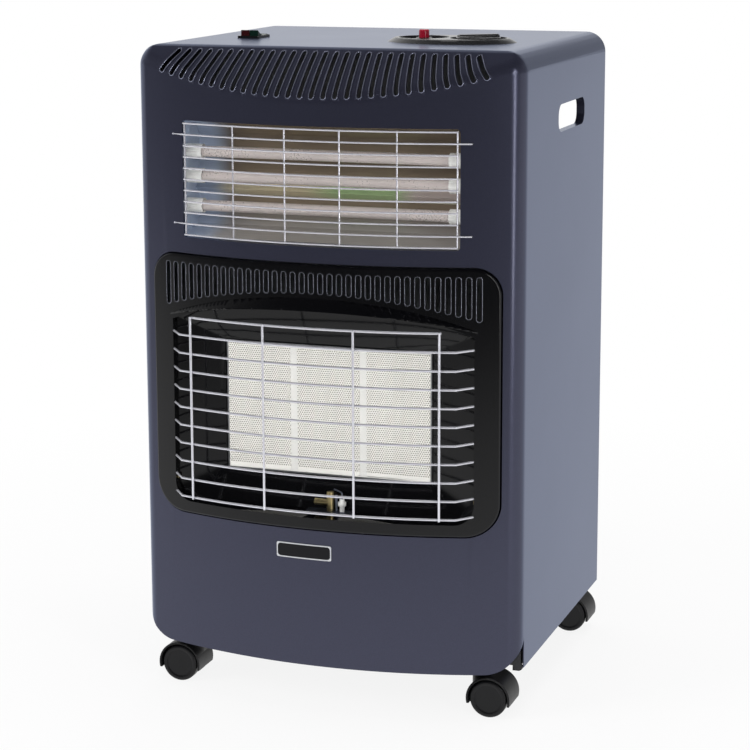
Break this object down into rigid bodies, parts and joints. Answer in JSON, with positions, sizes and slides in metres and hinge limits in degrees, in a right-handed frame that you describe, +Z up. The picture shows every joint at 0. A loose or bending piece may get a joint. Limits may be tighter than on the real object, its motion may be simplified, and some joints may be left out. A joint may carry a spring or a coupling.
{
  "type": "portable gas cabinet heater",
  "caption": "Upright cabinet room heater on twin-wheel casters: radiant gas burner behind a bowed chrome grille, quartz electric heater above, controls on the top.",
  "frame": {"origin": "on the floor under the middle of the overall bounding box", "axes": "+Z up, +Y from the grille to the open back, +X to the right as seen from the front"},
  "size_m": [0.42, 0.3968, 0.7065],
  "materials": {
    "body_paint": "satin metallic grey-blue",
    "base_paint": "satin dark grey",
    "black_enamel": "gloss black enamel",
    "galvanised": "galvanised sheet",
    "bright_sheet": "bright rolled",
    "chrome_wire": "bright chrome",
    "plaque_ceramic": "matt perforated",
    "fibre": "matt white",
    "white_ceramic": "smooth white",
    "quartz": "frosted",
    "coil_metal": "resistance wire",
    "brass": "machined",
    "cast_alloy": "die cast",
    "steel_tube": "drawn",
    "heat_steel": "heat resistant",
    "black_plastic": "semi gloss black",
    "caster_plastic": "moulded black",
    "red_plastic": "gloss red",
    "dark_red": "gloss dark red",
    "dark_green": "gloss dark green",
    "badge_metal": "satin, bare"
  },
  "bodies": {
    "cabinet": {"front_panel": "body_paint", "side_casing": "body_paint", "base_pan": "base_paint", "partition": "galvanised", "burner_surround": "black_enamel", "heat_deflector": "black_enamel", "burner_shroud": "black_enamel", "burner_grille": "chrome_wire", "mouth_screws": "brass", "quartz_guard": "chrome_wire", "plaque_left": "plaque_ceramic", "plaque_centre": "plaque_ceramic", "plaque_right": "plaque_ceramic", "plaque_gasket": "fibre", "burner_box": "galvanised", "mixer_tubes": "galvanised", "gas_manifold": "steel_tube", "gas_injectors": "brass", "gas_valve": "cast_alloy", "valve_bracket": "galvanised", "hose_nozzle": "brass", "burner_pipe": "steel_tube", "pilot_pipe": "steel_tube", "pilot_bracket": "heat_steel", "pilot_burner": "brass", "electrode_insulator": "white_ceramic", "electrode_wire": "heat_steel", "thermocouple": "heat_steel", "control_plate": "black_plastic", "piezo_igniter": "black_plastic", "switch_housing": "black_plastic", "quartz_reflector": "bright_sheet", "reflector_ends": "bright_sheet", "quartz_tubes": "quartz", "ceramic_caps": "white_ceramic", "heating_coils": "coil_metal", "cable_gland": "black_plastic", "badge_plate": "badge_metal", "caster_sockets": "caster_plastic", "caster_stems": "steel_tube"},
    "rear_cover": {"rear_cover": "body_paint"},
    "plunger": {"valve_plunger": "brass"},
    "knob": {"control_knob": "black_plastic", "valve_spindle": "brass"},
    "piezo_button": {"piezo_button": "red_plastic"},
    "rocker_left": {"rocker_left": "dark_red"},
    "rocker_right": {"rocker_right": "dark_green"},
    "caster_front_left": {"caster_front_left": "caster_plastic"},
    "wheel_front_left_front": {"wheel_front_left_front": "caster_plastic"},
    "wheel_front_left_back": {"wheel_front_left_back": "caster_plastic"},
    "caster_front_right": {"caster_front_right": "caster_plastic"},
    "wheel_front_right_front": {"wheel_front_right_front": "caster_plastic"},
    "wheel_front_right_back": {"wheel_front_right_back": "caster_plastic"},
    "caster_rear_left": {"caster_rear_left": "caster_plastic"},
    "wheel_rear_left_front": {"wheel_rear_left_front": "caster_plastic"},
    "wheel_rear_left_back": {"wheel_rear_left_back": "caster_plastic"},
    "caster_rear_right": {"caster_rear_right": "caster_plastic"},
    "wheel_rear_right_front": {"wheel_rear_right_front": "caster_plastic"},
    "wheel_rear_right_back": {"wheel_rear_right_back": "caster_plastic"}
  },
  "joints": [
    {"name": "cover_tilt", "type": "hinge", "parent": "cabinet", "child": "rear_cover", "pos_m": [0, 0.18906, 0.0793], "axis": [-1, 0, 0], "range_deg": [0, 30]},
    {"name": "knob_push", "type": "slide", "parent": "cabinet", "child": "plunger", "axis": [0, 0, -1], "range_m": [0, 0.003], "stiffness_N_per_m": 2000, "springref_m": -0.002},
    {"name": "knob_turn", "type": "hinge", "parent": "plunger", "child": "knob", "pos_m": [0.1235, -0.01059, 0.6976], "axis": [0, 0, 1], "range_deg": [0, 150]},
    {"name": "piezo_push", "type": "slide", "parent": "cabinet", "child": "piezo_button", "axis": [0, 0, -1], "range_m": [0, 0.005], "stiffness_N_per_m": 1500, "springref_m": -0.002},
    {"name": "rocker_left_tip", "type": "hinge", "parent": "cabinet", "child": "rocker_left", "pos_m": [-0.1391, -0.00259, 0.692], "axis": [1, 0, 0], "range_deg": [0, 22]},
    {"name": "rocker_right_tip", "type": "hinge", "parent": "cabinet", "child": "rocker_right", "pos_m": [-0.1289, -0.00259, 0.692], "axis": [1, 0, 0], "range_deg": [0, 22]},
    {"name": "caster_front_left_swivel", "type": "hinge", "parent": "cabinet", "child": "caster_front_left", "pos_m": [-0.1645, -0.11959, 0.0485], "axis": [0, 0, 1], "continuous": true},
    {"name": "wheel_front_left_front_spin", "type": "hinge", "parent": "caster_front_left", "child": "wheel_front_left_front", "pos_m": [-0.1755, -0.11959, 0.02], "axis": [0, 1, 0], "continuous": true},
    {"name": "wheel_front_left_back_spin", "type": "hinge", "parent": "caster_front_left", "child": "wheel_front_left_back", "pos_m": [-0.1755, -0.11959, 0.02], "axis": [0, 1, 0], "continuous": true},
    {"name": "caster_front_right_swivel", "type": "hinge", "parent": "cabinet", "child": "caster_front_right", "pos_m": [0.1645, -0.11959, 0.0485], "axis": [0, 0, 1], "continuous": true},
    {"name": "wheel_front_right_front_spin", "type": "hinge", "parent": "caster_front_right", "child": "wheel_front_right_front", "pos_m": [0.1755, -0.11959, 0.02], "axis": [0, 1, 0], "continuous": true},
    {"name": "wheel_front_right_back_spin", "type": "hinge", "parent": "caster_front_right", "child": "wheel_front_right_back", "pos_m": [0.1755, -0.11959, 0.02], "axis": [0, 1, 0], "continuous": true},
    {"name": "caster_rear_left_swivel", "type": "hinge", "parent": "cabinet", "child": "caster_rear_left", "pos_m": [-0.1745, 0.17841, 0.0485], "axis": [0, 0, 1], "continuous": true},
    {"name": "wheel_rear_left_front_spin", "type": "hinge", "parent": "caster_rear_left", "child": "wheel_rear_left_front", "pos_m": [-0.1855, 0.17841, 0.02], "axis": [0, 1, 0], "continuous": true},
    {"name": "wheel_rear_left_back_spin", "type": "hinge", "parent": "caster_rear_left", "child": "wheel_rear_left_back", "pos_m": [-0.1855, 0.17841, 0.02], "axis": [0, 1, 0], "continuous": true},
    {"name": "caster_rear_right_swivel", "type": "hinge", "parent": "cabinet", "child": "caster_rear_right", "pos_m": [0.1745, 0.17841, 0.0485], "axis": [0, 0, 1], "continuous": true},
    {"name": "wheel_rear_right_front_spin", "type": "hinge", "parent": "caster_rear_right", "child": "wheel_rear_right_front", "pos_m": [0.1855, 0.17841, 0.02], "axis": [0, 1, 0], "continuous": true},
    {"name": "wheel_rear_right_back_spin", "type": "hinge", "parent": "caster_rear_right", "child": "wheel_rear_right_back", "pos_m": [0.1855, 0.17841, 0.02], "axis": [0, 1, 0], "continuous": true}
  ]
}
